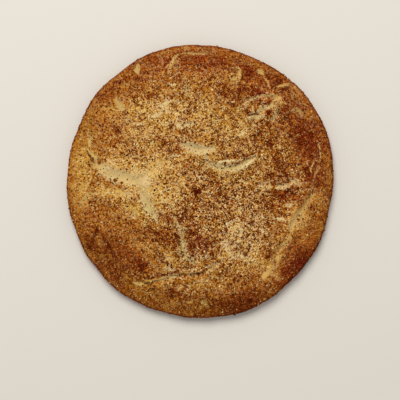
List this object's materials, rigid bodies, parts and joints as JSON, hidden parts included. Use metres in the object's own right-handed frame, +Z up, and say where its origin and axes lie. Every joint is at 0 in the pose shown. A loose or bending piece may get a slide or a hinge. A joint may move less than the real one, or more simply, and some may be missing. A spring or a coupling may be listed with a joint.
{
  "type": "snickerdoodle",
  "caption": "Round flat-based cookie with a low domed top, a rounded rim and a crackled cinnamon-sugar crust.",
  "frame": {"origin": "middle of the flat base, at the centre of the outline's box", "axes": "+Z up through the domed top; +Y towards the cookie's upper edge as seen from above with the large branching rift on the left"},
  "size_m": [0.0938, 0.096, 0.01],
  "materials": {
    "baked_crust": "dry baked cookie dough, golden to reddish brown, paler in the cracks",
    "cinnamon_sugar": "coarse baked grains of sugar and cinnamon",
    "pale_sugar": "pale sugar grains, a little glossy"
  },
  "bodies": {
    "root": {"snickerdoodle": "baked_crust"}
  },
  "joints": []
}
